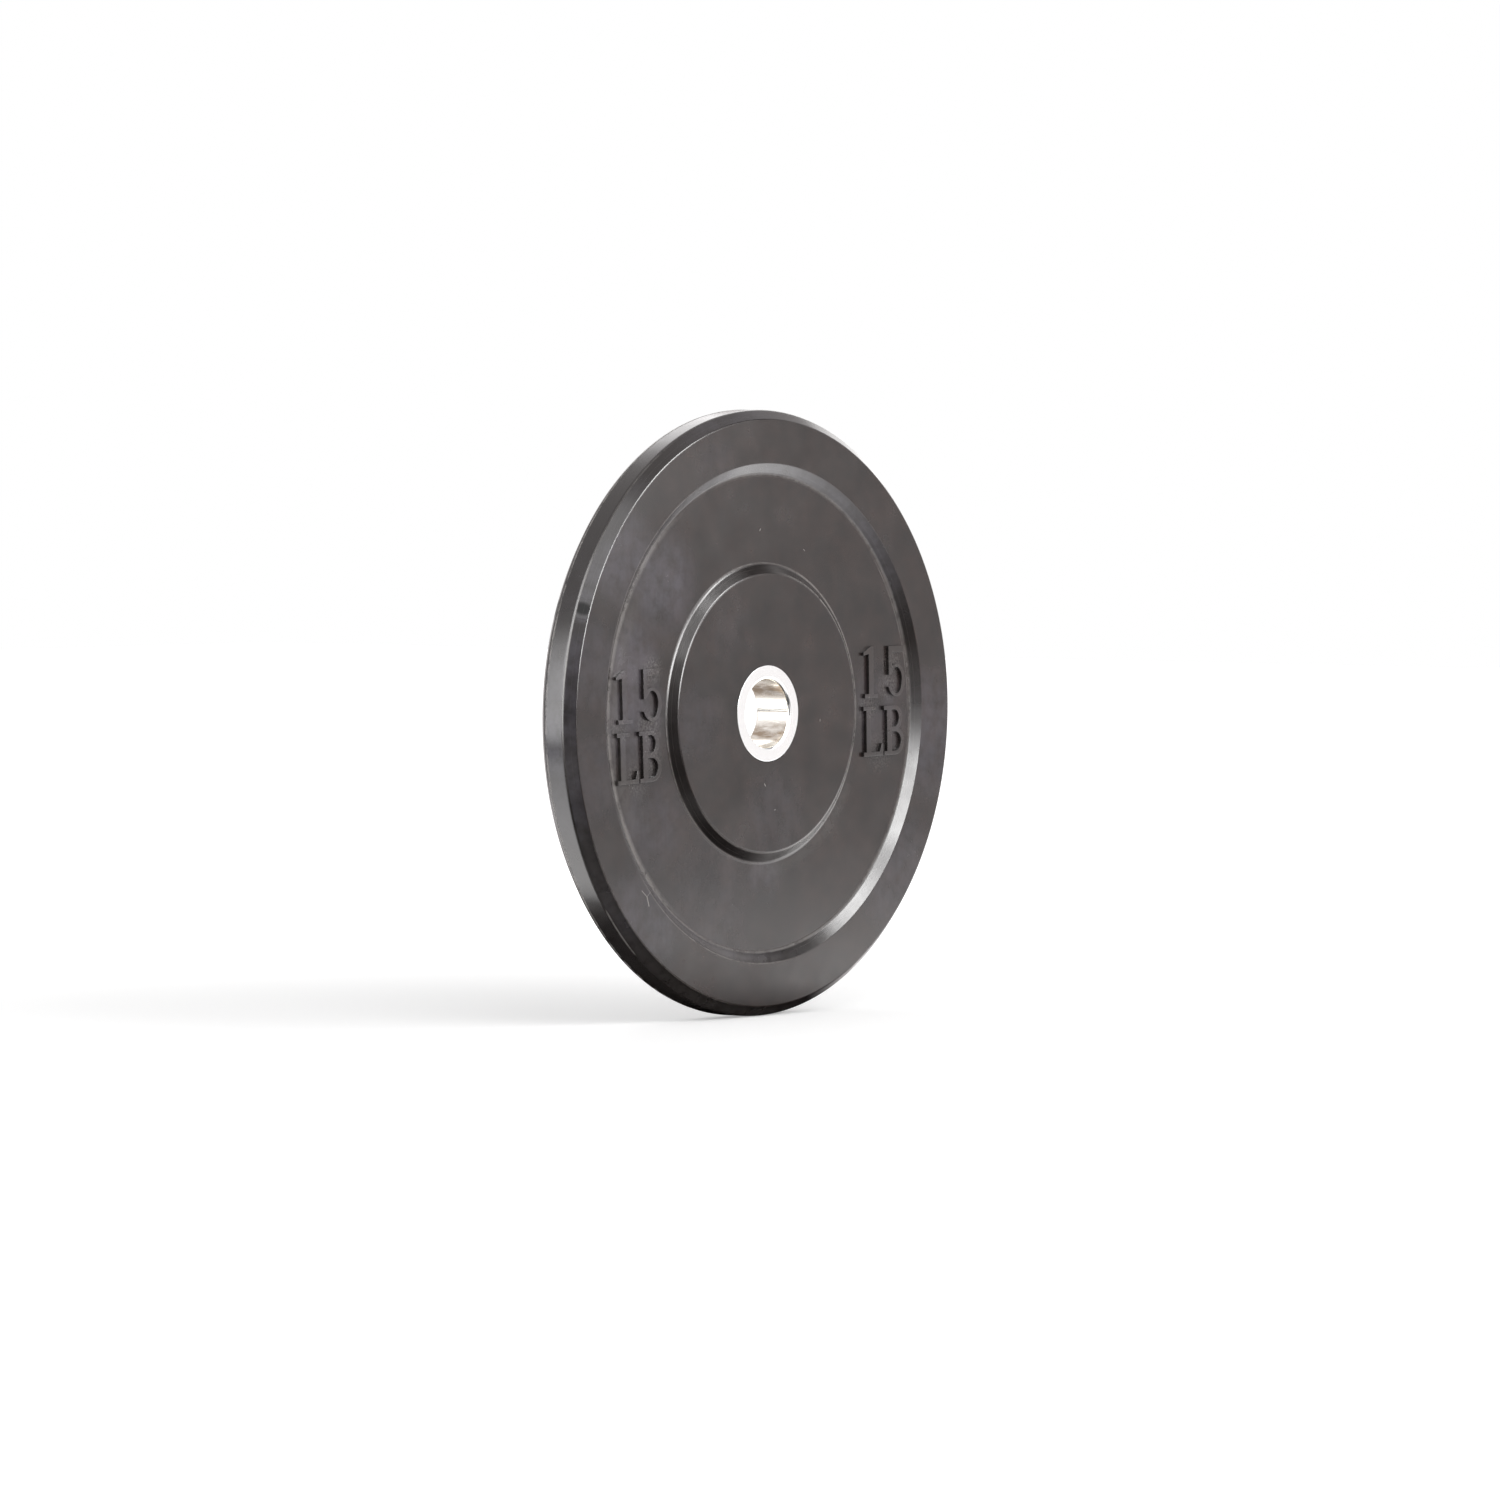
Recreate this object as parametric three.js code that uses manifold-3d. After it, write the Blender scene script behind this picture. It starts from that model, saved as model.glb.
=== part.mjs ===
// Rubber bumper plate for an Olympic bar: a moulded disc around a steel insert.
// Millimetres, +Z up. The plate stands on its tread, as it does in a rack, and its
// axis is Y. The origin is on that axis, halfway between the two faces.
import * as THREE from 'three';
import { mergeVertices } from 'three/addons/utils/BufferGeometryUtils.js';
import Module from 'manifold-3d';

const wasm = await Module();
wasm.setup();

// Driving sizes of the rubber disc
const outerDiameter = 450;
const overallWidth = 32.5;
const treadWidth = 17.5;
const chamferRise = 7.5;
const rimFaceWidth = 32.3;
const rimSlopeRun = 7.9;
const recessDepth = 5.8;
const hubFaceDiameter = 207.4;
const hubSlopeRun = 7.1;
const edgeRound = 1.8;
const rootRound = 2;

// Driving sizes of the steel insert
const boreDiameter = 50.4;
const insertWall = 10.45;
const mouthRound = 1.2;
const collarEdgeRound = 0.4;
const collarRise = 4;
const collarWidth = 4;

// Driving sizes of the anchor plate, which ties the insert into the rubber
const anchorReach = 24;
const anchorThickness = 3;
const keyHoleCount = 8;
const keyHoleDiameter = 12;

// Gap between moulded rubber and steel, and how far a joined piece runs into its neighbour
const clearance = 0.3;
const overrun = 1;

// Facets round a full turn, and steps in a rounded edge or a key
const turnFacets = 80;
const roundSteps = 2;
const mouthSteps = 3;
const keyFacets = 16;

// Places worked out from the sizes
const outerRadius = outerDiameter / 2;
const halfWidth = overallWidth / 2;
const halfTread = treadWidth / 2;
const halfWeb = halfWidth - recessDepth;
const rimOuterRadius = outerRadius - chamferRise;
const rimInnerRadius = rimOuterRadius - rimFaceWidth;
const rimFootRadius = rimInnerRadius - rimSlopeRun;
const hubFaceRadius = hubFaceDiameter / 2;
const hubFootRadius = hubFaceRadius + hubSlopeRun;
const boreRadius = boreDiameter / 2;
const insertRadius = boreRadius + insertWall;
const collarRadius = insertRadius + collarRise;
const anchorRadius = collarRadius + anchorReach;
const keyCircleRadius = (collarRadius + anchorRadius) / 2;
const keyHoleRadius = keyHoleDiameter / 2;
const halfAnchor = anchorThickness / 2;
const collarFront = halfAnchor + clearance;
const collarBack = collarFront + collarWidth;

const rubberBlack = new THREE.MeshStandardMaterial({ color: '#3a3734', roughness: 0.5, metalness: 0 });
const turnedSteel = new THREE.MeshStandardMaterial({ color: '#d6d5d2', roughness: 0.25, metalness: 1 });
const plainSteel = new THREE.MeshStandardMaterial({ color: '#8c8b88', roughness: 0.5, metalness: 1 });

// A corner of a section: its radius from the axis, its place along the axis, and its rounding
function corner(radius, along, round = 0, steps = roundSteps) {
  return { at: new THREE.Vector2(radius, along), round, steps };
}

// The arc that rounds one corner, no longer than half of either side that meets there
function cornerArc({ at, round, steps }, before, after) {
  if (round === 0) return [at];
  const toBefore = before.clone().sub(at);
  const toAfter = after.clone().sub(at);
  const shorterHalf = Math.min(toBefore.length(), toAfter.length()) / 2;
  toBefore.normalize();
  toAfter.normalize();
  const halfAngle = Math.acos(toBefore.dot(toAfter)) / 2;
  const setback = Math.min(round / Math.tan(halfAngle), shorterHalf);
  const radius = setback * Math.tan(halfAngle);
  const bisector = toBefore.clone().add(toAfter).normalize();
  const centre = at.clone().addScaledVector(bisector, radius / Math.sin(halfAngle));
  const start = at.clone().addScaledVector(toBefore, setback);
  const turn = -Math.sign(toBefore.cross(toAfter)) * (Math.PI - 2 * halfAngle);
  return Array.from({ length: steps + 1 }, (_, k) => (
    start.clone().rotateAround(centre, (turn * k) / steps)
  ));
}

// A closed section with its corners rounded, ready to revolve
function roundedSection(corners) {
  const count = corners.length;
  const points = corners.flatMap((here, k) => {
    const before = corners[(k + count - 1) % count].at;
    const after = corners[(k + 1) % count].at;
    return cornerArc(here, before, after);
  });
  return [...points, points[0].clone()];
}

// The section turned round the plate's axis, with one facet square to the floor below it
function revolve(corners) {
  const halfFacet = Math.PI / turnFacets;
  return new THREE.LatheGeometry(roundedSection(corners), turnFacets, halfFacet, 2 * Math.PI);
}

function toSolid(geometry) {
  const bare = geometry.clone();
  bare.deleteAttribute('normal');
  bare.deleteAttribute('uv');
  const merged = mergeVertices(bare);
  return new wasm.Manifold(new wasm.Mesh({
    numProp: 3,
    vertProperties: new Float32Array(merged.attributes.position.array),
    triVerts: new Uint32Array(merged.index.array),
  }));
}

function toGeometry(solid) {
  const mesh = solid.getMesh();
  const geometry = new THREE.BufferGeometry();
  geometry.setAttribute('position', new THREE.BufferAttribute(mesh.vertProperties, 3));
  geometry.setIndex(new THREE.BufferAttribute(mesh.triVerts, 1));
  geometry.computeVertexNormals();
  return geometry;
}

function namedMesh(name, geometry, material) {
  const mesh = new THREE.Mesh(geometry, material);
  mesh.name = name;
  return mesh;
}

// Centre of key number k, on the circle that the keys share
function keyCentre(k) {
  const angle = (2 * Math.PI * k) / keyHoleCount;
  return new THREE.Vector2(Math.cos(angle), Math.sin(angle)).multiplyScalar(keyCircleRadius);
}

// One face of the disc from the insert out to the tread; side is -1 in front and 1 behind
function faceCorners(side) {
  return [
    corner(insertRadius + clearance, side * halfWidth),
    corner(hubFaceRadius, side * halfWidth, edgeRound),
    corner(hubFootRadius, side * halfWeb, rootRound),
    corner(rimFootRadius, side * halfWeb, rootRound),
    corner(rimInnerRadius, side * halfWidth, edgeRound),
    corner(rimOuterRadius, side * halfWidth, edgeRound),
    corner(outerRadius, side * halfTread, edgeRound),
  ];
}

// The seat that the rubber takes round the sleeve, its collar and the anchor plate
function seatCorners() {
  return [
    corner(insertRadius + clearance, collarBack + clearance),
    corner(collarRadius + clearance, collarBack + clearance),
    corner(collarRadius + clearance, halfAnchor + clearance),
    corner(anchorRadius + clearance, halfAnchor + clearance),
    corner(anchorRadius + clearance, -halfAnchor - clearance),
    corner(insertRadius + clearance, -halfAnchor - clearance),
  ];
}

// A round bar along the plate's axis, through the place of key number k
function keyBar(k, radius, length) {
  const bar = new THREE.CylinderGeometry(radius, radius, length, keyFacets);
  const centre = keyCentre(k);
  bar.translate(centre.x, 0, centre.y);
  return toSolid(bar);
}

// Rubber that flowed through one hole of the anchor plate and joins the two halves of the hub
function rubberKey(k) {
  return keyBar(k, keyHoleRadius - clearance, anchorThickness + 2 * (clearance + overrun));
}

function rubberDisc() {
  const section = [...faceCorners(-1), ...faceCorners(1).reverse(), ...seatCorners()];
  let disc = toSolid(revolve(section));
  for (let k = 0; k < keyHoleCount; k += 1) {
    disc = disc.add(rubberKey(k));
  }
  return namedMesh('rubber_disc', toGeometry(disc), rubberBlack);
}

// The turned sleeve that slides on the bar, flush with the hub on both faces
function insertSleeve() {
  const section = [
    corner(boreRadius, -halfWidth, mouthRound, mouthSteps),
    corner(insertRadius, -halfWidth),
    corner(insertRadius, collarFront),
    corner(collarRadius, collarFront),
    corner(collarRadius, collarBack, collarEdgeRound),
    corner(insertRadius, collarBack),
    corner(insertRadius, halfWidth),
    corner(boreRadius, halfWidth, mouthRound, mouthSteps),
  ];
  return namedMesh('insert_sleeve', revolve(section), turnedSteel);
}

// The punched disc on the sleeve, seated against its collar and keyed by the rubber
function anchorPlate() {
  let plate = toSolid(revolve([
    corner(insertRadius + clearance, -halfAnchor),
    corner(anchorRadius, -halfAnchor),
    corner(anchorRadius, halfAnchor),
    corner(insertRadius + clearance, halfAnchor),
  ]));
  for (let k = 0; k < keyHoleCount; k += 1) {
    plate = plate.subtract(keyBar(k, keyHoleRadius, anchorThickness + 2 * overrun));
  }
  return namedMesh('anchor_plate', toGeometry(plate), plainSteel);
}

const bumperPlate = new THREE.Group();
bumperPlate.add(rubberDisc(), insertSleeve(), anchorPlate());

export default bumperPlate;
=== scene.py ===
import math

import bmesh
import bpy
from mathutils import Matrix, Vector


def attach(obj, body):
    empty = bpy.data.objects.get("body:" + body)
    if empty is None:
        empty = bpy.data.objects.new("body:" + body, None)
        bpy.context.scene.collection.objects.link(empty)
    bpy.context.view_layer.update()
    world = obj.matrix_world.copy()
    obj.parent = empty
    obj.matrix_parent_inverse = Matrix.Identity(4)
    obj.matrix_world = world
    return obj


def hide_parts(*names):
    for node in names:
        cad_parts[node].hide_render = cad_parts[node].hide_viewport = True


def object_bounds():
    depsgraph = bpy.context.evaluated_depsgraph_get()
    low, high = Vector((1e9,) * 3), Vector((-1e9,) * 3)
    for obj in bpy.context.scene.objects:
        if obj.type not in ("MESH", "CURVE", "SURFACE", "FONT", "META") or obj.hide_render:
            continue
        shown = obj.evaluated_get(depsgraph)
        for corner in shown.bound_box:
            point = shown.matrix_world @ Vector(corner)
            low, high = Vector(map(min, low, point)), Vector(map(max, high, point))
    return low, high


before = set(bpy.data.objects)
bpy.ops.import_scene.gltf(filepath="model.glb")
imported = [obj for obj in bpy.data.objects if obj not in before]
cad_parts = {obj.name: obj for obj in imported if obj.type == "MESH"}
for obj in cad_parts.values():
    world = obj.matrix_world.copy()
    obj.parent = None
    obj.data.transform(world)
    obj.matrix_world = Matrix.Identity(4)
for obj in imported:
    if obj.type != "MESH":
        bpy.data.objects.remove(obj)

# A rubber bumper plate for a 50 mm bar sleeve, standing on its tread. The plate's axis is
# Y, and the face that the photograph shows looks towards -Y
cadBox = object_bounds()
mm = 0.001
print("frame loaded, CAD box", [round(side, 4) for corner in cadBox for side in corner])

# how near two points are one spot, in millimetres, and how edges are shaded smooth
modelling = {
    "outlineMerge": 0.01, "sameSpot": 0.02, "spunMerge": 0.005,
    "smoothAngle": 32, "faceWeight": 100,
}


def onlySelect(piece):
    bpy.ops.object.select_all(action="DESELECT")
    piece.select_set(True)
    bpy.context.view_layer.objects.active = piece


def editSelection(piece, wanted, kind="FACE"):
    # selects, in edit mode, just the faces or vertices for which wanted() is true
    bpy.ops.mesh.select_mode(type=kind)
    bpy.ops.mesh.select_all(action="DESELECT")
    mesh = bmesh.from_edit_mesh(piece.data)
    for part in mesh.faces if kind == "FACE" else mesh.verts:
        if wanted(part):
            part.select_set(True)
    mesh.select_flush_mode()
    bmesh.update_edit_mesh(piece.data)


def drawOutline(name, points):
    # one vertex pulled from point to point, in millimetres on the XY plane, and closed
    bpy.ops.object.select_all(action="DESELECT")
    bpy.ops.mesh.primitive_plane_add(size=mm, location=(0, 0, 0))
    piece = bpy.context.object
    piece.name = piece.data.name = name
    bpy.ops.object.mode_set(mode="EDIT")
    bpy.ops.mesh.select_mode(type="VERT")
    bpy.ops.mesh.select_all(action="SELECT")
    bpy.ops.mesh.merge(type="CENTER")
    here = Vector(points[0])
    bpy.ops.transform.translate(value=(here.x * mm, here.y * mm, 0))
    for point in points[1:] + points[:1]:
        step = Vector(point) - here
        bpy.ops.mesh.extrude_region_move(
            TRANSFORM_OT_translate={"value": (step.x * mm, step.y * mm, 0)})
        here = Vector(point)
    bpy.ops.mesh.select_all(action="SELECT")
    bpy.ops.mesh.remove_doubles(threshold=modelling["outlineMerge"] * mm)
    return piece


def roundCorners(piece, corners):
    # each corner of the outline is found by its place and cut back to an arc
    near = modelling["sameSpot"] * mm
    for place, turned, radius, steps in corners:
        setback = radius * math.tan(turned / 2)
        at = Vector((place[0] * mm, place[1] * mm, 0))
        editSelection(piece, lambda vert: (vert.co - at).length < near, "VERT")
        bpy.ops.mesh.bevel(offset=setback * mm, segments=steps, affect="VERTICES")


def turnedPiece(name, section, facets):
    # section: rows of radius, place along the axis, rounding and steps in the rounding
    points = [row[:2] for row in section]
    piece = drawOutline(name, points)
    corners = []
    for k, (radius, along, rounding, steps) in enumerate(section):
        if rounding:
            before = Vector(points[k]) - Vector(points[k - 1])
            after = Vector(points[(k + 1) % len(points)]) - Vector(points[k])
            corners.append(((radius, along), before.angle(after), rounding, steps))
    roundCorners(piece, corners)
    bpy.ops.mesh.select_all(action="SELECT")
    bpy.ops.mesh.spin(steps=facets, angle=2 * math.pi, center=(0, 0, 0), axis=(0, 1, 0))
    bpy.ops.mesh.select_all(action="SELECT")
    bpy.ops.mesh.remove_doubles(threshold=modelling["spunMerge"] * mm)
    bpy.ops.mesh.normals_make_consistent(inside=False)
    bpy.ops.object.mode_set(mode="OBJECT")
    return piece


def smoothByAngle(piece):
    onlySelect(piece)
    bpy.ops.object.shade_smooth_by_angle(angle=math.radians(modelling["smoothAngle"]))
    bpy.ops.object.modifier_add(type="WEIGHTED_NORMAL")
    level = piece.modifiers[-1]
    level.keep_sharp = True
    level.weight = modelling["faceWeight"]
    bpy.ops.object.modifier_apply(modifier=level.name)


# The moulded rubber disc. Sizes in millimetres; a user changes them here
rubberDisc = {
    "outerRadius": 224.65, "halfWidth": 16.25, "halfTread": 8.75, "halfWeb": 10.45,
    "rimOuterRadius": 217.5, "rimInnerRadius": 185.2, "rimFootRadius": 177.3,
    "hubFaceRadius": 103.3, "hubFootRadius": 110.8,
    "treadRound": 3.8, "chamferRound": 2.0, "rimEdgeRound": 1.4, "rimFootRound": 4.5,
    "hubFootRound": 5.0, "hubEdgeRound": 3.0, "roundSteps": 6,
    # the flash line, where the two halves of the mould met
    "flashAt": 6.8, "flashRise": 0.15, "flashWidth": 0.5,
    "seatRadius": 35.95, "seatMouthRound": 0.3,
    "anchorSeatRadius": 63.95, "anchorSeatHalf": 1.8,
    "collarSeatRadius": 39.95, "collarSeatBack": 6.1,
    "facets": 240,
}


def rubberSection():
    size, steps = rubberDisc, rubberDisc["roundSteps"]
    face = [
        (size["seatRadius"], size["halfWidth"], size["seatMouthRound"], 2),
        (size["hubFaceRadius"], size["halfWidth"], size["hubEdgeRound"], steps),
        (size["hubFootRadius"], size["halfWeb"], size["hubFootRound"], steps),
        (size["rimFootRadius"], size["halfWeb"], size["rimFootRound"], steps),
        (size["rimInnerRadius"], size["halfWidth"], size["rimEdgeRound"], steps),
        (size["rimOuterRadius"], size["halfWidth"], size["chamferRound"], steps),
    ]
    front = [(radius, -along, rounding, count) for radius, along, rounding, count in face]
    ridge, wide = size["outerRadius"] + size["flashRise"], size["flashWidth"]
    tread = [
        (size["outerRadius"], -size["halfTread"], size["treadRound"], steps),
        (size["outerRadius"], size["flashAt"] - wide / 2, 0, 0),
        (ridge, size["flashAt"] - wide / 8, 0, 0),
        (ridge, size["flashAt"] + wide / 8, 0, 0),
        (size["outerRadius"], size["flashAt"] + wide / 2, 0, 0),
        (size["outerRadius"], size["halfTread"], size["treadRound"], steps),
    ]
    seat = [
        (size["seatRadius"], size["collarSeatBack"], 0, 0),
        (size["collarSeatRadius"], size["collarSeatBack"], 0, 0),
        (size["collarSeatRadius"], size["anchorSeatHalf"], 0, 0),
        (size["anchorSeatRadius"], size["anchorSeatHalf"], 0, 0),
        (size["anchorSeatRadius"], -size["anchorSeatHalf"], 0, 0),
        (size["seatRadius"], -size["anchorSeatHalf"], 0, 0),
    ]
    return front + tread + face[::-1] + seat


rubber = turnedPiece("rubber_body", rubberSection(), rubberDisc["facets"])
print("rubber body turned:", len(rubber.data.polygons), "faces")

# The raised weight marks on both faces: 15 over LB, in plain slab letters. The top edges
# are eased in steps, each a share of the easing inwards and upwards
weightMark = {
    "rise": 2.5, "bury": 0.6, "edge": 0.35, "edgeSteps": [(0.3, 0.7), (0.7, 0.3)],
    "blockSize": (52.0, 82.0), "upperRow": (3.6, 44.0),
    "serif": 3.2, "bowlPoints": 9,
    # where the blocks stand on the face: across, up, and turned by degrees
    "blocks": [(-146.4, -6.2, 2.2), (140.4, 5.4, 1.0)],
}


def arc(centre, radii, start, stop, count):
    turns = [math.radians(start + (stop - start) * k / (count - 1)) for k in range(count)]
    return [(centre[0] + radii[0] * math.cos(turn), centre[1] + radii[1] * math.sin(turn))
            for turn in turns]


def glyphOutlines():
    # each glyph is a list of closed outlines; the first is the rim, the others are holes
    thin, count = weightMark["serif"], weightMark["bowlPoints"]
    one = [[(2, 0), (18, 0), (18, thin), (13, thin), (13, 39), (9.5, 39),
            (0.8, 34.6), (0.8, 32.2), (7, 33.2), (7, thin), (2, thin)]]
    bowl = (40.6, 12.4)
    five = [[(31.2, 38.5), (31.2, 16.6), (34.7, 17.6)]
            + arc(bowl, (6.6, 10.0), 118, -140, count * 2)
            + arc(bowl, (10.9, 12.4), -158, 110, count * 2)
            + [(35.5, 23.6), (35.5, 33.3), (48.9, 33.3), (48.9, 38.5)]]
    ell = [[(3.6, 0), (27.4, 0), (27.4, 9.2), (25.4, 9.2), (23.4, thin), (13, thin),
            (13, 34.6), (18.5, 34.6), (18.5, 37.8), (3.6, 37.8), (3.6, 34.6),
            (7, 34.6), (7, thin), (3.6, thin)]]
    bee = [[(28.4, 0), (42, 0)]
           + arc((42, 10.2), (11, 10.2), -80, 58, count)
           + arc((42, 27.9), (9, 9.6), -56, 80, count)
           + [(42, 37.5), (28.4, 37.5), (28.4, 34.3), (32.2, 34.3), (32.2, thin),
              (28.4, thin)],
           [(38, 3), (42, 3)] + arc((42, 10.3), (6.8, 7.3), -75, 75, count)
           + [(42, 17.6), (38, 17.6)],
           [(38, 21.4), (41.6, 21.4)] + arc((41.6, 27.8), (5, 6.4), -75, 75, count)
           + [(41.6, 34.2), (38, 34.2)]]
    over, high = weightMark["upperRow"]
    raised = [[[(x + over, z + high) for x, z in line] for line in glyph]
              for glyph in (one, five)]
    return raised + [ell, bee]


def raisedGlyph(name, outlines):
    # flat outlines filled, pulled up to the height of the letter, and its top edges eased
    lines = [drawOutline(name, outlines[0])]
    bpy.ops.object.mode_set(mode="OBJECT")
    for hole in outlines[1:]:
        lines.append(drawOutline(name + "_hole", hole))
        bpy.ops.object.mode_set(mode="OBJECT")
    onlySelect(lines[0])
    for line in lines:
        line.select_set(True)
    if len(lines) > 1:
        bpy.ops.object.join()
    glyph = bpy.context.object
    rise, bury, edge = (weightMark[key] * mm for key in ("rise", "bury", "edge"))
    bpy.ops.object.mode_set(mode="EDIT")
    bpy.ops.mesh.select_mode(type="EDGE")
    bpy.ops.mesh.select_all(action="SELECT")
    bpy.ops.mesh.fill(use_beauty=True)
    bpy.ops.mesh.select_all(action="SELECT")
    bpy.ops.mesh.normals_make_consistent(inside=False)
    bpy.ops.transform.translate(value=(0, 0, -bury))
    bpy.ops.mesh.extrude_region_move(
        TRANSFORM_OT_translate={"value": (0, 0, rise + bury - edge)})
    top = rise - edge
    near = modelling["outlineMerge"] * mm
    editSelection(glyph, lambda face: min(v.co.z for v in face.verts) > top - near)
    for inward, upward in weightMark["edgeSteps"]:
        bpy.ops.mesh.inset(thickness=edge * inward, depth=0, use_even_offset=True)
        bpy.ops.transform.translate(value=(0, 0, edge * upward))
    bpy.ops.mesh.select_all(action="SELECT")
    bpy.ops.mesh.normals_make_consistent(inside=False)
    bpy.ops.object.mode_set(mode="OBJECT")
    return glyph


def placeBlock(block, middle, turn):
    # the flat block stands up against the front of the web, turned a little on the disc
    onlySelect(block)
    bpy.ops.object.mode_set(mode="EDIT")
    bpy.ops.mesh.select_mode(type="VERT")
    bpy.ops.mesh.select_all(action="SELECT")
    wide, high = weightMark["blockSize"]
    bpy.ops.transform.translate(value=(-wide / 2 * mm, -high / 2 * mm, 0))
    bpy.ops.object.mode_set(mode="OBJECT")
    block.rotation_mode = "XYZ"
    block.rotation_euler = (math.radians(90), math.radians(-turn), 0)
    block.location = (middle[0] * mm, -rubberDisc["halfWeb"] * mm, middle[1] * mm)
    bpy.ops.object.transform_apply(location=True, rotation=True, scale=True)


def weightMarks():
    names = ("one", "five", "ell", "bee")
    glyphs = [raisedGlyph(name, lines) for name, lines in zip(names, glyphOutlines())]
    onlySelect(glyphs[0])
    for glyph in glyphs:
        glyph.select_set(True)
    bpy.ops.object.join()
    master = bpy.context.object
    blocks = []
    for x, z, turn in weightMark["blocks"]:
        for half in (0, 180):
            onlySelect(master)
            bpy.ops.object.duplicate(linked=False)
            block = bpy.context.object
            placeBlock(block, (x, z), turn)
            block.rotation_euler = (0, 0, math.radians(half))
            bpy.ops.object.transform_apply(location=False, rotation=True, scale=False)
            blocks.append(block)
    bpy.data.objects.remove(master)
    onlySelect(blocks[0])
    for block in blocks:
        block.select_set(True)
    bpy.ops.object.join()
    marks = bpy.context.object
    marks.name = "weight_marks"
    return marks


def weldInto(body, added):
    # joins a closed shape to a closed body as one skin
    onlySelect(body)
    bpy.ops.object.modifier_add(type="BOOLEAN")
    weld = body.modifiers[-1]
    weld.operation, weld.solver, weld.object = "UNION", "EXACT", added
    bpy.ops.object.modifier_apply(modifier=weld.name)
    bpy.data.objects.remove(added)


weldInto(rubber, weightMarks())
print("weight marks raised:", len(rubber.data.polygons), "faces")

smoothByAngle(rubber)
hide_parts("rubber_disc")
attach(rubber, "root")

# The turned steel insert, flush with the hub on both faces
insertSleeve = {
    "boreRadius": 25.2, "outerRadius": 35.65, "halfWidth": 16.25,
    "mouthRound": 2.4, "rimEase": 0.3, "collarRadius": 39.65,
    "collarFront": 1.8, "collarBack": 5.8, "collarEase": 0.4,
    "facets": 160,
}


def insertSection():
    size = insertSleeve
    mouth, rim, collar = size["mouthRound"], size["rimEase"], size["collarEase"]
    half = size["halfWidth"]
    return [
        (size["boreRadius"], -half, mouth, 5),
        (size["outerRadius"], -half, rim, 2),
        (size["outerRadius"], size["collarFront"], 0, 0),
        (size["collarRadius"], size["collarFront"], 0, 0),
        (size["collarRadius"], size["collarBack"], collar, 3),
        (size["outerRadius"], size["collarBack"], 0, 0),
        (size["outerRadius"], half, rim, 2),
        (size["boreRadius"], half, mouth, 5),
    ]


insert = turnedPiece("insert_ring", insertSection(), insertSleeve["facets"])
smoothByAngle(insert)
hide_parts("insert_sleeve")
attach(insert, "root")
print("insert turned:", len(insert.data.polygons), "faces")


def linearColour(code):
    # an sRGB hex value as the linear colour that shaders use
    parts = [int(code[k:k + 2], 16) / 255 for k in (1, 3, 5)]
    return [p / 12.92 if p <= 0.04045 else ((p + 0.055) / 1.055) ** 2.4 for p in parts] + [1]


def addNode(tree, kind, inputs=None, **settings):
    node = tree.nodes.new("ShaderNode" + kind)
    for name, value in settings.items():
        setattr(node, name, value)
    for name, value in (inputs or {}).items():
        if isinstance(value, bpy.types.NodeSocket):
            tree.links.new(value, node.inputs[name])
        else:
            node.inputs[name].default_value = value
    return node


def newMaterial(name):
    material = bpy.data.materials.new(name)
    material.use_nodes = True
    material.node_tree.nodes.clear()
    return material, material.node_tree


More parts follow.
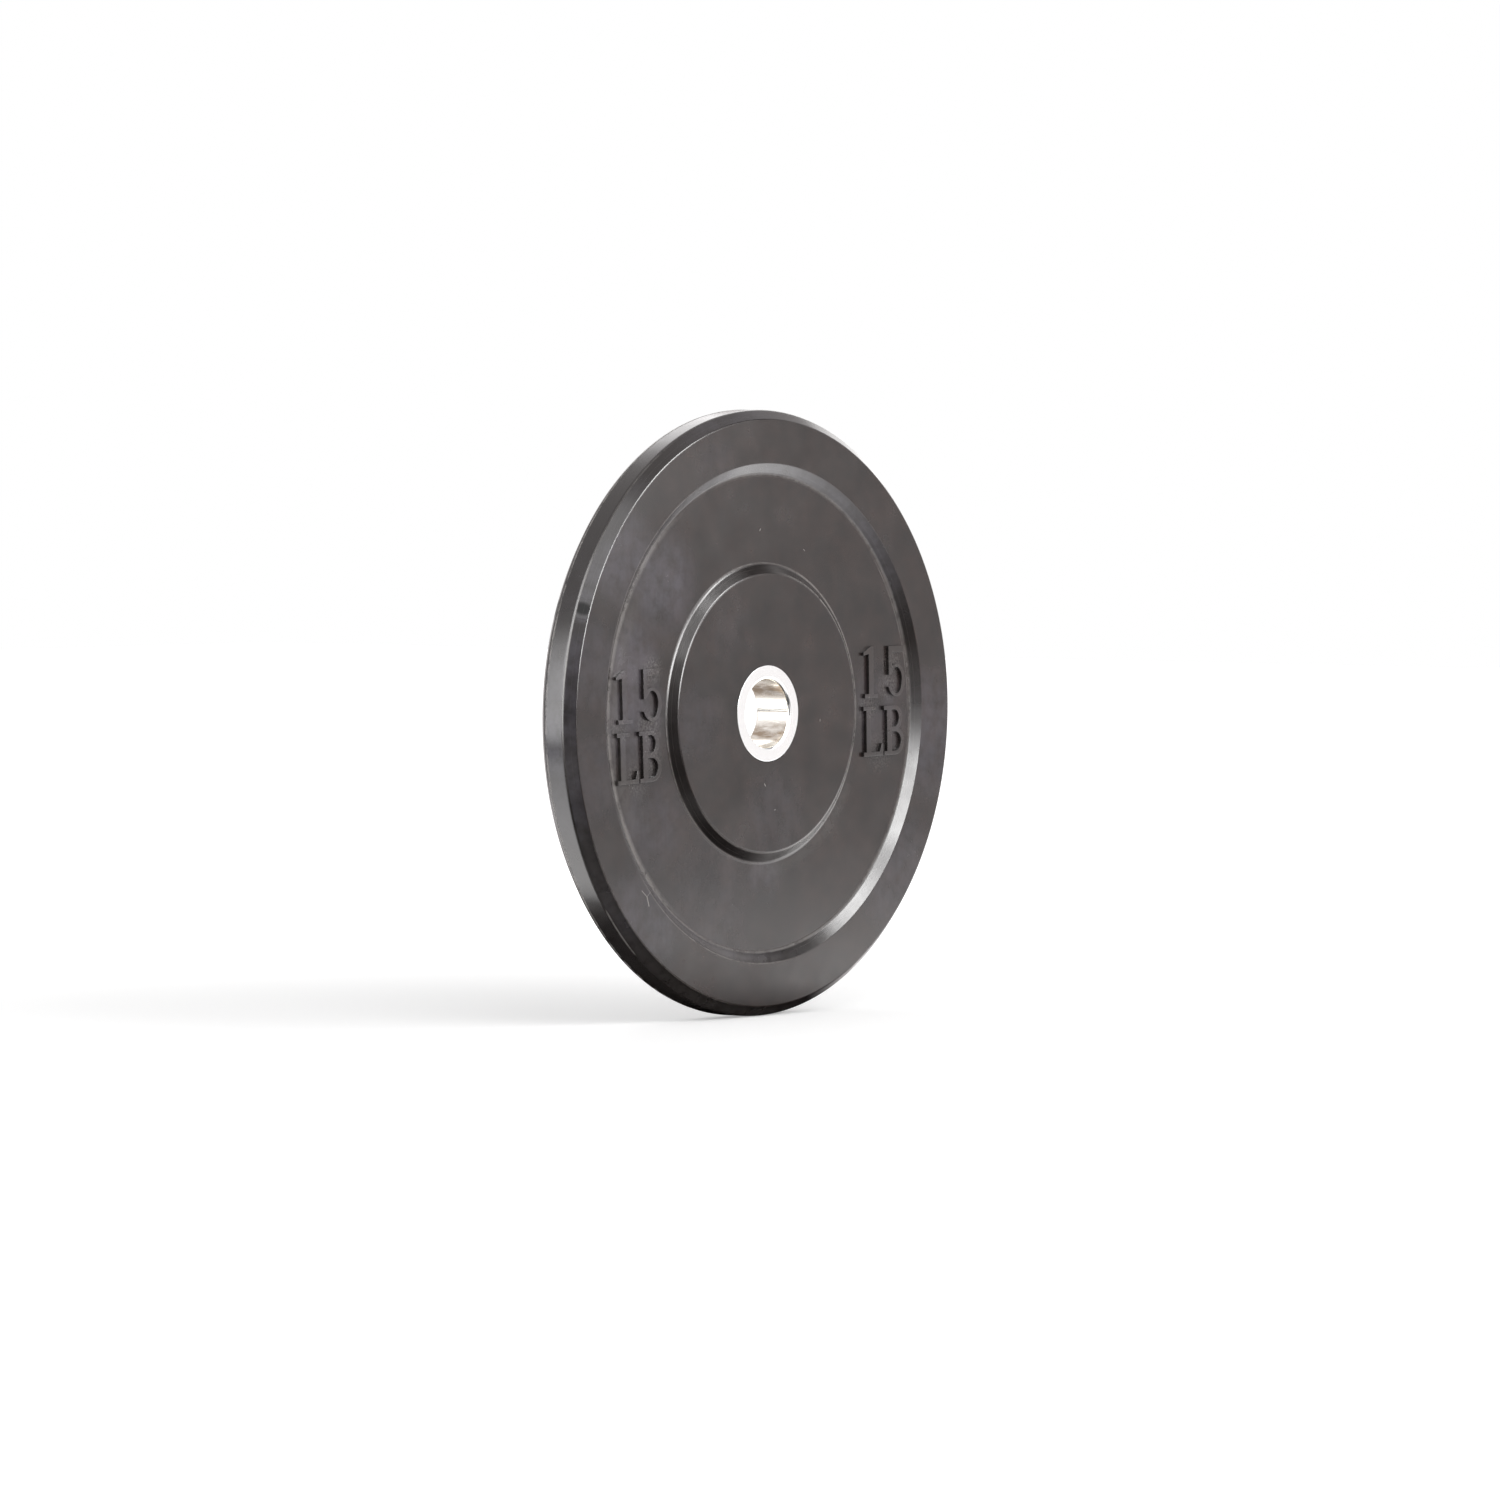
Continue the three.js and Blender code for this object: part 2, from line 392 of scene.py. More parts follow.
# Compression-moulded natural rubber: near black, with the satin of the mould. A greyish
# bloom lies in patches, dust stays in the corners, and handling leaves wipes and scuffs.
# Pale lines along the corners and edges are dust and painted highlight, and lighter arcs
# on the rim slopes are painted reflection
mouldedRubber = {
    "colour": "#201c1b", "bloomColour": "#5d463f", "hazeAndReflection": "#7c7985", "dustAndHighlight": "#a5a09c",
    "dull": "#080808", "ior": 1.54,
    "roughLow": 0.17, "roughHigh": 0.28, "smearSize": 26, "dustRough": 0.25, "dullRough": 0.8,
    "grainSize": 1.6, "grainDepth": 0.006, "waveSize": 34, "waveDepth": 0.05,
    # cloudy patterns: size, the noise at which they start and are full, amount and detail
    "bloom": (55, 0.34, 0.78, 0.13, 4), "mottle": (15, 0.4, 0.7, 0.13, 6),
    "patchBreaks": (14, 0.25, 0.6, 1, 4), "cornerBreaks": (9, 0.25, 0.5, 1, 4),
    "flashDust": (9, 0.35, 0.55, 0.55, 4), "speckleGrain": (1.8, 0.4, 0.72, 1, 4),
    "wipes": (8, 0.42, 0.72, 0.34, 3), "wipeTilt": 14, "wipeStretch": 0.12,
    # which way a surface faces: how flat the faces are, and the share that lies on slopes
    "flatFrom": 0.84, "flatFull": 0.97, "slopeShare": 0.15,
    "chamferSpread": 0.12, "treadUpright": 0.3,
    # the radii past which chamfer, tread and flash line lie, and how far past its foot
    # the web still counts
    "chamferFrom": 210, "treadFrom": 222, "flashFrom": 223, "webMargin": 0.5,
    # dust and painted highlight lines along the corners and edges: radius, width to either
    # side, amount, and the middle and half of the arc that it lies on, in degrees from +X
    # towards +Z
    "cornerDustAndHighlights": [(177.2, 1.8, 0.26, 215, 105), (176.4, 4.5, 0.4, 180, 62),
                   (176.8, 2.2, 0.17, 20, 110), (174.6, 1.0, 0.2, 20, 24),
                   (168, 12, 0.1, 178, 34), (185.3, 1.0, 0.28, 248, 34),
                   (182.2, 5.5, 0.12, 240, 45), (185.3, 1.2, 0.2, 145, 30),
                   (103.7, 0.9, 0.2, 252, 36), (104.4, 1.6, 0.66, 0, 88),
                   (110.9, 0.9, 0.24, 222, 60), (111.2, 1.5, 0.44, 12, 74),
                   (111.4, 0.9, 0.2, 95, 35), (116, 9, 0.05, 300, 40),
                   (107.5, 4.5, 0.14, 322, 44), (217.4, 0.8, 0.2, 232, 34),
                   (221.5, 6, 0.06, 238, 52), (224.0, 0.6, 0.2, 146, 32),
                   (224.1, 0.5, 0.5, 224, 7)],
    # painted reflection on the rim slopes, a greyish lighter band, laid out the same way
    "paintedSlopeReflection": [(181.3, 7, 0.2, 84, 66), (181.3, 7, 0.17, 226, 62)],
    # greyish patches: across, up, reach, amount. On the web and hub, then on the rim
    "patches": [(-148, 2, 52, 0.24), (-115, 98, 48, 0.3), (-150, 44, 38, 0.32),
                (-150, 0, 26, 0.3), (-128, -78, 48, 0.16), (-60, -140, 70, 0.08),
                (2, -121, 26, 0.16), (139, 0, 48, 0.13), (-82, -4, 40, 0.1),
                (8, -74, 44, 0.1), (-44, 60, 34, 0.05)],
    "rimPatches": [(-164, 116, 46, 0.26), (-200, 40, 44, 0.15), (-196, -40, 50, 0.09),
                   (-142, -148, 56, 0.2), (-60, 186, 30, 0.06), (150, -120, 64, 0.14),
                   (196, -20, 66, 0.2)],
    # the same on the chamfer, and a dull spot there that hardly shines
    "chamferPatches": [(-151, 160, 30, 0.05), (-189, 112, 26, 0.18), (-202.5, 90.5, 8, 0.26),
                       (-207.6, 74.3, 6, 0.24), (-212, 44, 30, 0.22), (-217, 4, 40, 0.2),
                       (-212, -56, 50, 0.17), (-178, -134, 60, 0.07), (-40, 215, 80, 0.12)],
    "dullSpots": [(-205.8, 80.6, 8.5, 1.0)],
    # and on the tread, by height alone: height, reach and amount
    "treadPatches": [(30, 34, 0.16), (-14, 36, 0.36), (-60, 40, 0.1), (96, 34, 0.05),
                     (208, 30, 0.16)],
    # speckled dust left in and round the marks: across, up, reach, amount
    "speckles": [(-167, -7.4, 18, 0.26), (-130, -7, 18, 0.24), (-127, 34.7, 16, 0.24),
                 (-129, -29, 18, 0.18), (-168, 36, 14, 0.2), (125, 1.5, 16, 0.2),
                 (150.5, 17, 16, 0.2), (155, 34.7, 14, 0.2), (140, -33, 20, 0.12),
                 (-146, -45, 20, 0.15)],
    "markTops": 0.04, "topReach": 0.1, "flashReach": 0.8,
    # scuffs on the front: from, to, width, amount
    "scuffs": [((-144.8, -125.1), (-139.1, -129.7), 0.5, 0.7),
               ((-139.1, -129.7), (-136.9, -136.4), 0.7, 0.9),
               ((-139.1, -129.7), (-135.2, -126.2), 0.4, 0.5),
               ((-4.1, -52.1), (-2.9, -53.7), 0.6, 0.8),
               ((7.6, -71.9), (8.9, -71.6), 0.5, 0.6),
               ((61.5, -6.0), (61.5, -7.4), 0.5, 0.6),
               ((-2.6, 135.2), (-1.9, 136.6), 0.6, 0.8),
               ((49.2, 120.9), (50.3, 120.0), 0.5, 0.7)],
}


# the share of its reach within which a mark is at full strength, and how fine noise breaks
softness = {"arcCore": 0.6, "patchCore": 0.3, "noiseRoughness": 0.6}


def arcBands(tree, flat, radius, bands):
    # soft lines along the rings, each over its own arc; where they overlap the stronger shows
    heading = addNode(tree, "VectorMath", {0: flat}, operation="NORMALIZE").outputs[0]
    total = 0.0
    for ring, wide, amount, middle, half in bands:
        away = addNode(tree, "Math", {0: radius, 1: ring * mm}, operation="SUBTRACT").outputs[0]
        away = addNode(tree, "Math", {0: away}, operation="ABSOLUTE").outputs[0]
        line = addNode(tree, "MapRange", {"Value": away, "From Min": wide * mm,
                                          "From Max": 0.0, "To Max": amount},
                       interpolation_type="SMOOTHSTEP").outputs[0]
        turn, reach = math.radians(middle), math.radians(half)
        along = addNode(tree, "VectorMath", {0: heading,
                                             1: (math.cos(turn), math.sin(turn), 0)},
                        operation="DOT_PRODUCT").outputs["Value"]
        core = math.cos(reach * softness["arcCore"])
        share = addNode(tree, "MapRange", {"Value": along, "From Min": math.cos(reach),
                                           "From Max": core},
                        interpolation_type="SMOOTHSTEP").outputs[0]
        line = addNode(tree, "Math", {0: line, 1: share}, operation="MULTIPLY").outputs[0]
        total = addNode(tree, "Math", {0: total, 1: line}, operation="MAXIMUM").outputs[0]
    return total


def patchMask(tree, flat, patches):
    # soft round patches on the face; where they overlap the stronger one shows
    total = 0.0
    for across, up, reach, amount in patches:
        away = addNode(tree, "VectorMath", {0: flat, 1: (across * mm, up * mm, 0)},
                       operation="DISTANCE").outputs["Value"]
        core = reach * softness["patchCore"]
        patch = addNode(tree, "MapRange", {"Value": away, "From Min": reach * mm,
                                           "From Max": core * mm, "To Max": amount},
                        interpolation_type="SMOOTHSTEP")
        total = addNode(tree, "Math", {0: total, 1: patch.outputs[0]},
                        operation="MAXIMUM").outputs[0]
    return total


def scuffMask(tree, flat, scuffs):
    # thin light lines, each the distance from a short stroke on the face
    total = 0.0
    for start, end, wide, amount in scuffs:
        start, end = Vector((*start, 0)) * mm, Vector((*end, 0)) * mm
        along = end - start
        step = addNode(tree, "VectorMath", {0: flat, 1: start}, operation="SUBTRACT").outputs[0]
        share = addNode(tree, "VectorMath", {0: step, 1: along / along.length_squared},
                        operation="DOT_PRODUCT").outputs["Value"]
        share = addNode(tree, "Math", {0: share, 1: 0.0}, operation="ADD",
                        use_clamp=True).outputs[0]
        foot = addNode(tree, "VectorMath", {0: along, "Scale": share}, operation="SCALE")
        away = addNode(tree, "VectorMath", {0: step, 1: foot.outputs[0]},
                       operation="DISTANCE").outputs["Value"]
        line = addNode(tree, "MapRange", {"Value": away, "From Min": wide * mm,
                                          "From Max": 0.0, "To Max": amount})
        total = addNode(tree, "Math", {0: total, 1: line.outputs[0]},
                        operation="MAXIMUM").outputs[0]
    return total


def noiseBetween(tree, place, cloud):
    # a cloudy pattern of the given size in millimetres, from nothing up to most
    size, low, high, most, detail = cloud
    noise = addNode(tree, "TexNoise", {"Vector": place, "Scale": 1 / (size * mm),
                                       "Detail": detail,
                                       "Roughness": softness["noiseRoughness"]})
    return addNode(tree, "MapRange", {"Value": noise.outputs[0], "From Min": low,
                                      "From Max": high, "To Max": most}).outputs[0]


def rubberMaterial():
    look = mouldedRubber
    material, tree = newMaterial("moulded_rubber")
    source = addNode(tree, "TexCoord")
    place = source.outputs["Object"]
    axes = addNode(tree, "SeparateXYZ", {"Vector": place})
    flat = addNode(tree, "CombineXYZ", {"X": axes.outputs["X"],
                                        "Y": axes.outputs["Z"]}).outputs[0]
    radius = addNode(tree, "VectorMath", {0: flat}, operation="LENGTH").outputs["Value"]
    depth = addNode(tree, "Math", {0: axes.outputs["Y"]}, operation="ABSOLUTE").outputs[0]
    facing = addNode(tree, "SeparateXYZ", {"Vector": source.outputs["Normal"]})
    upright = addNode(tree, "Math", {0: facing.outputs["Y"]}, operation="ABSOLUTE").outputs[0]

    def join(first, second, how):
        return addNode(tree, "Math", {0: first, 1: second}, operation=how).outputs[0]

    # a brown bloom all over, and greyish patches on the web and rim, wiped in streaks
    bloom = join(noiseBetween(tree, place, look["bloom"]),
                 noiseBetween(tree, place, look["mottle"]), "ADD")
    cloud = noiseBetween(tree, place, look["patchBreaks"])
    web = join(radius, (rubberDisc["rimFootRadius"] + look["webMargin"]) * mm, "LESS_THAN")
    patches = join(join(patchMask(tree, flat, look["patches"]), web, "MULTIPLY"),
                   join(patchMask(tree, flat, look["rimPatches"]),
                        join(1.0, web, "SUBTRACT"), "MULTIPLY"), "ADD")
    patches = join(patches, cloud, "MULTIPLY")
    tilt = math.radians(look["wipeTilt"])
    wiped = addNode(tree, "Mapping", {"Vector": place, "Rotation": (0, tilt, 0),
                                      "Scale": (1.0, 1.0, look["wipeStretch"])})
    wipes = noiseBetween(tree, wiped.outputs[0], look["wipes"])
    patches = join(patches, join(1.0, wipes, "SUBTRACT"), "MULTIPLY")
    # both lie on the flat faces, and hardly on the slopes and walls
    flatness = addNode(tree, "MapRange", {"Value": upright, "From Min": look["flatFrom"],
                                          "From Max": look["flatFull"],
                                          "To Min": look["slopeShare"]}).outputs[0]
    bloom = join(bloom, flatness, "MULTIPLY")
    hazeAndReflection = join(patches, flatness, "MULTIPLY")
    # painted reflection: the rim slopes are made lighter and greyer in two arcs
    slopeReflection = join(arcBands(tree, flat, radius, look["paintedSlopeReflection"]),
                  join(upright, look["flatFull"], "LESS_THAN"), "MULTIPLY")
    hazeAndReflection = join(hazeAndReflection, join(slopeReflection, cloud, "MULTIPLY"), "ADD")
    slanted = addNode(tree, "Math", {0: upright, 1: math.sqrt(0.5), 2: look["chamferSpread"]},
                      operation="COMPARE").outputs[0]
    chamfer = join(slanted, join(radius, look["chamferFrom"] * mm, "GREATER_THAN"), "MULTIPLY")
    marked = join(patchMask(tree, flat, look["chamferPatches"]), cloud, "MULTIPLY")
    hazeAndReflection = join(hazeAndReflection, join(marked, chamfer, "MULTIPLY"), "ADD")
    along = addNode(tree, "CombineXYZ", {"Y": axes.outputs["Z"]}).outputs[0]
    worn = patchMask(tree, along, [(0, up, reach, amount)
                                   for up, reach, amount in look["treadPatches"]])
    outer = join(join(upright, look["treadUpright"], "LESS_THAN"),
                 join(radius, look["treadFrom"] * mm, "GREATER_THAN"), "MULTIPLY")
    hazeAndReflection = join(hazeAndReflection, join(join(worn, outer, "MULTIPLY"), cloud, "MULTIPLY"), "ADD")
    dull = join(patchMask(tree, flat, look["dullSpots"]), chamfer, "MULTIPLY")
    # dust and painted highlight lines in the corners and along the edges; dust in and round
    # the marks and along the flash line; and scuffs
    corners = join(arcBands(tree, flat, radius, look["cornerDustAndHighlights"]),
                   noiseBetween(tree, place, look["cornerBreaks"]), "MULTIPLY")
    speckle = noiseBetween(tree, place, look["speckleGrain"])
    top = addNode(tree, "Math", {0: depth, 1: (rubberDisc["halfWeb"] + weightMark["rise"]) * mm,
                                 2: look["topReach"] * mm}, operation="COMPARE").outputs[0]
    tops = join(top, look["markTops"], "MULTIPLY")
    spots = join(join(patchMask(tree, flat, look["speckles"]), speckle, "MULTIPLY"),
                 flatness, "MULTIPLY")
    seam = addNode(tree, "Math", {0: axes.outputs["Y"], 1: rubberDisc["flashAt"] * mm,
                                  2: look["flashReach"] * mm}, operation="COMPARE").outputs[0]
    seam = join(seam, join(radius, look["flashFrom"] * mm, "GREATER_THAN"), "MULTIPLY")
    seam = join(seam, noiseBetween(tree, place, look["flashDust"]), "MULTIPLY")
    scuffs = join(scuffMask(tree, flat, look["scuffs"]),
                  join(axes.outputs["Y"], 0.0, "LESS_THAN"), "MULTIPLY")
    dustAndHighlights = corners
    for layer in (tops, spots, seam, scuffs):
        dustAndHighlights = join(dustAndHighlights, layer, "MAXIMUM")

    colour = addNode(tree, "Mix", {"Factor": bloom, 6: linearColour(look["colour"]),
                                   7: linearColour(look["bloomColour"])}, data_type="RGBA")
    # the greyish colour paints the haze patches and the painted reflection on the rim slopes
    colour = addNode(tree, "Mix", {"Factor": hazeAndReflection, 6: colour.outputs[2],
                                   7: linearColour(look["hazeAndReflection"])}, data_type="RGBA")
    colour = addNode(tree, "Mix", {"Factor": dull, 6: colour.outputs[2],
                                   7: linearColour(look["dull"])}, data_type="RGBA")
    # the pale colour paints dust, and painted highlight lines along the corners and edges
    colour = addNode(tree, "Mix", {"Factor": dustAndHighlights, 6: colour.outputs[2],
                                   7: linearColour(look["dustAndHighlight"])}, data_type="RGBA")
    smear = addNode(tree, "TexNoise", {"Vector": place, "Scale": 1 / (look["smearSize"] * mm),
                                       "Detail": 5.0, "Roughness": 0.55})
    rough = addNode(tree, "MapRange", {"Value": smear.outputs[0], "From Min": 0.3,
                                       "From Max": 0.7, "To Min": look["roughLow"],
                                       "To Max": look["roughHigh"]})
    rough = addNode(tree, "Math", {0: dustAndHighlights, 1: look["dustRough"], 2: rough.outputs[0]},
                    operation="MULTIPLY_ADD")
    rough = addNode(tree, "Math", {0: dull, 1: look["dullRough"], 2: rough.outputs[0]},
                    operation="MULTIPLY_ADD")
    wave = addNode(tree, "TexNoise", {"Vector": place, "Scale": 1 / (look["waveSize"] * mm),
                                      "Detail": 1.0})
    grain = addNode(tree, "TexNoise", {"Vector": place, "Scale": 1 / (look["grainSize"] * mm),
                                       "Detail": 3.0})
    waves = addNode(tree, "Bump", {"Height": wave.outputs[0], "Strength": 1.0,
                                   "Distance": look["waveDepth"] * mm})
    bump = addNode(tree, "Bump", {"Height": grain.outputs[0], "Strength": 0.35,
                                  "Distance": look["grainDepth"] * mm,
                                  "Normal": waves.outputs[0]})
    shader = addNode(tree, "BsdfPrincipled", {"Base Color": colour.outputs[2],
                                              "Roughness": rough.outputs[0],
                                              "Normal": bump.outputs[0], "IOR": look["ior"]})
    addNode(tree, "OutputMaterial", {"Surface": shader.outputs[0]})
    return material


# Stainless steel off the lathe: bright, with fine rings that the tool left, a brownish film
# where the bar rubs the bore, and the fine line of the tube's seam
turnedSteel = {
    "colour": "#fbfdfd", "bore": "#f4f3ed", "film": "#93806c", "seam": "#a39e96",
    "roughness": 0.16, "filmRoughness": 0.36, "ringSpacing": 0.5, "ringDepth": 0.004,
    "boreReach": 25.5, "filmAt": [(17, 17), (19, -15)], "filmReach": 12,
    "filmBreaks": (5, 0.3, 0.6, 0.9, 4), "filmStretch": 0.3,
    "seamHeight": 0.6, "seamWidth": 0.4,
}


def steelMaterial():
    look = turnedSteel
    material, tree = newMaterial("turned_stainless_steel")
    place = addNode(tree, "TexCoord").outputs["Object"]
    axes = addNode(tree, "SeparateXYZ", {"Vector": place})
    flat = addNode(tree, "CombineXYZ", {"X": axes.outputs["X"], "Y": axes.outputs["Z"]})
    radius = addNode(tree, "VectorMath", {0: flat.outputs[0]}, operation="LENGTH")
    travel = addNode(tree, "Math", {0: radius.outputs["Value"], 1: axes.outputs["Y"]},
                     operation="ADD")
    turns = addNode(tree, "Math", {0: travel.outputs[0],
                                   1: 2 * math.pi / (look["ringSpacing"] * mm)},
                    operation="MULTIPLY")
    ring = addNode(tree, "Math", {0: turns.outputs[0]}, operation="SINE")
    bump = addNode(tree, "Bump", {"Height": ring.outputs[0], "Strength": 0.5,
                                  "Distance": look["ringDepth"] * mm})
    # the film lies only inside the bore, in two worn patches
    inside = addNode(tree, "Math", {0: radius.outputs["Value"], 1: look["boreReach"] * mm},
                     operation="LESS_THAN").outputs[0]
    worn = patchMask(tree, flat.outputs[0], [(across, up, look["filmReach"], 1.0)
                                             for across, up in look["filmAt"]])
    streaked = addNode(tree, "Mapping", {"Vector": place,
                                         "Scale": (1.0, look["filmStretch"], 1.0)})
    broken = noiseBetween(tree, streaked.outputs[0], look["filmBreaks"])
    film = addNode(tree, "Math", {0: worn, 1: broken}, operation="MULTIPLY").outputs[0]
    seam = addNode(tree, "Math", {0: axes.outputs["Z"], 1: look["seamHeight"] * mm,
                                  2: look["seamWidth"] * mm}, operation="COMPARE").outputs[0]
    seam = addNode(tree, "Math", {0: seam, 1: inside}, operation="MULTIPLY").outputs[0]
    film = addNode(tree, "Math", {0: film, 1: inside}, operation="MULTIPLY").outputs[0]
    colour = addNode(tree, "Mix", {"Factor": inside, 6: linearColour(look["colour"]),
                                   7: linearColour(look["bore"])}, data_type="RGBA")
    colour = addNode(tree, "Mix", {"Factor": film, 6: colour.outputs[2],
                                   7: linearColour(look["film"])}, data_type="RGBA")
    colour = addNode(tree, "Mix", {"Factor": seam, 6: colour.outputs[2],
                                   7: linearColour(look["seam"])}, data_type="RGBA")
    rough = addNode(tree, "MapRange", {"Value": film, "To Min": look["roughness"],
                                       "To Max": look["filmRoughness"]})
    shader = addNode(tree, "BsdfPrincipled", {"Base Color": colour.outputs[2],
                                              "Metallic": 1.0,
                                              "Roughness": rough.outputs[0],
                                              "Normal": bump.outputs[0]})
    addNode(tree, "OutputMaterial", {"Surface": shader.outputs[0]})
    return material


# Mild steel sheet as it comes from the press: grey, dull, with a mottled scale
pressedSteel = {"colour": "#8c8b88", "scale": "#6d6b68", "mottle": 7, "roughness": 0.5}


def anchorMaterial():
    look = pressedSteel
    material, tree = newMaterial("pressed_mild_steel")
    place = addNode(tree, "TexCoord").outputs["Object"]
    mottle = addNode(tree, "TexNoise", {"Vector": place, "Scale": 1 / (look["mottle"] * mm),
                                        "Detail": 4.0})
    colour = addNode(tree, "Mix", {"Factor": mottle.outputs[0],
                                   6: linearColour(look["colour"]),
                                   7: linearColour(look["scale"])}, data_type="RGBA")
    bump = addNode(tree, "Bump", {"Height": mottle.outputs[0], "Strength": 0.3,
                                  "Distance": 0.05 * mm})
    shader = addNode(tree, "BsdfPrincipled", {"Base Color": colour.outputs[2],
                                              "Metallic": 1.0,
                                              "Roughness": look["roughness"],
                                              "Normal": bump.outputs[0]})
    addNode(tree, "OutputMaterial", {"Surface": shader.outputs[0]})
    return material


def dress(piece, material):
    piece.data.materials.clear()
    piece.data.materials.append(material)


dress(rubber, rubberMaterial())
dress(insert, steelMaterial())
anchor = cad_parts["anchor_plate"]
for holder in anchor.material_slots:
    holder.material = anchorMaterial()
print("materials made")

# The studio: white paper and walls, a dark room behind the camera, and softboxes whose
# mirror images draw the slopes and edges of the plate. Metres; glow is a lamp's brightness
studio = {
    "floorSize": 16.0, "floorColour": "#e9e9e9",
    "nearLift": 0.34, "farLift": 0.9, "liftFrom": 0.35, "liftTo": 1.5,
    "fill": 0.42, "reflected": 0.94, "darkReflected": 0.1, "wallTint": (1.03, 0.98, 0.975, 1),
    # where the walls are dark: aim, and the angles at which the dark ends and the white starts
    "darkWalls": [((-0.53, -0.845, -0.07), 12, 24), ((0.7, -0.312, 0.643), 9, 14)],
    "underfootAt": (-0.06, 0.0, 0.0), "underfoot": 0.26, "underfootEnd": 0.32,
    "paperTowards": (-0.774, -0.634, 0.0), "paperEnd": 0.17, "paperFade": 0.26,
    "boardFrom": 0.58, "boardFull": 0.74,
    "lampWatts": 4,  # for each square metre of a lamp at a glow of 1
    "lamps": [
        # name, place, aim, width, height, glow
        ("front_softbox", (0.0, -1.0, 0.33), (0.0, 0, 0.33), 0.42, 0.48, 13),
        ("front_high_softbox", (0.43, -1.0, 0.92), (0.43, 0, 0.92), 0.64, 0.48, 13),
        ("front_window", (0.45, -1.02, 0.58), (0.45, 0, 0.58), 1.1, 0.95, 1.8),
        ("front_left_softbox", (-0.65, -1.0, 1.15), (-0.1, 0, 0), 0.8, 1.0, 1.9),
        ("left_softbox", (-1.25, -0.1, 0.5), (-0.1, 0, 0.1), 0.75, 1.42, 6.5),
        ("back_left_softbox", (-1.279, 0.647, 0.2), (-0.329, -0.153, 0.05), 0.46, 0.8, 5.6),
        ("back_right_softbox", (0.85, 1.0, 0.95), (0, 0, 0.1), 0.9, 0.7, 1.5),
        ("right_softbox", (1.5, 0.4, 0.46), (0.1, 0, 0.1), 0.8, 0.78, 1.1),
        ("right_floor_panel", (0.7, -0.4, -0.222), (0.7, -0.4, 1), 0.97, 0.9, 1.05),
        ("right_floor_glow", (0.5, -0.08, -0.221), (0.5, -0.08, 1), 0.6, 0.26, 0.45),
        ("right_floor_core", (0.5, -0.14, -0.22), (0.5, -0.14, 1), 0.34, 0.26, 0.6),
        ("right_back_floor_panel", (0.95, 0.22, -0.222), (0.95, 0.22, 1), 0.7, 0.4, 0.3),
        ("left_floor_panel", (-0.57, 0.322, -0.222), (-0.57, 0.322, 1), 0.72, 0.57, 2.25),
    ],
    # these only draw highlights, so that colours still render about as they are written
    "highlightsOnly": ["front_softbox", "front_high_softbox", "left_softbox",
                       "back_left_softbox", "right_floor_panel", "right_floor_glow",
                       "right_floor_core", "right_back_floor_panel", "left_floor_panel"],
}


def lookTowards(thing, place, aim):
    thing.location = place
    thing.rotation_mode = "QUATERNION"
    thing.rotation_quaternion = (Vector(aim) - Vector(place)).to_track_quat("-Z", "Y")


def wallShade(tree, direction):
    # how bright the surroundings are in a direction, as the rubber and the steel mirror them
    shade = studio["reflected"]
    for aim, core, rim in studio["darkWalls"]:
        towards = addNode(tree, "VectorMath", {0: direction, 1: aim},
                          operation="DOT_PRODUCT").outputs["Value"]
        lit = addNode(tree, "MapRange", {"Value": towards,
                                         "From Min": math.cos(math.radians(rim)),
                                         "From Max": math.cos(math.radians(core)),
                                         "To Min": 1.0, "To Max": studio["darkReflected"]})
        shade = addNode(tree, "Math", {0: shade, 1: lit.outputs[0]},
                        operation="MULTIPLY").outputs[0]
    return shade


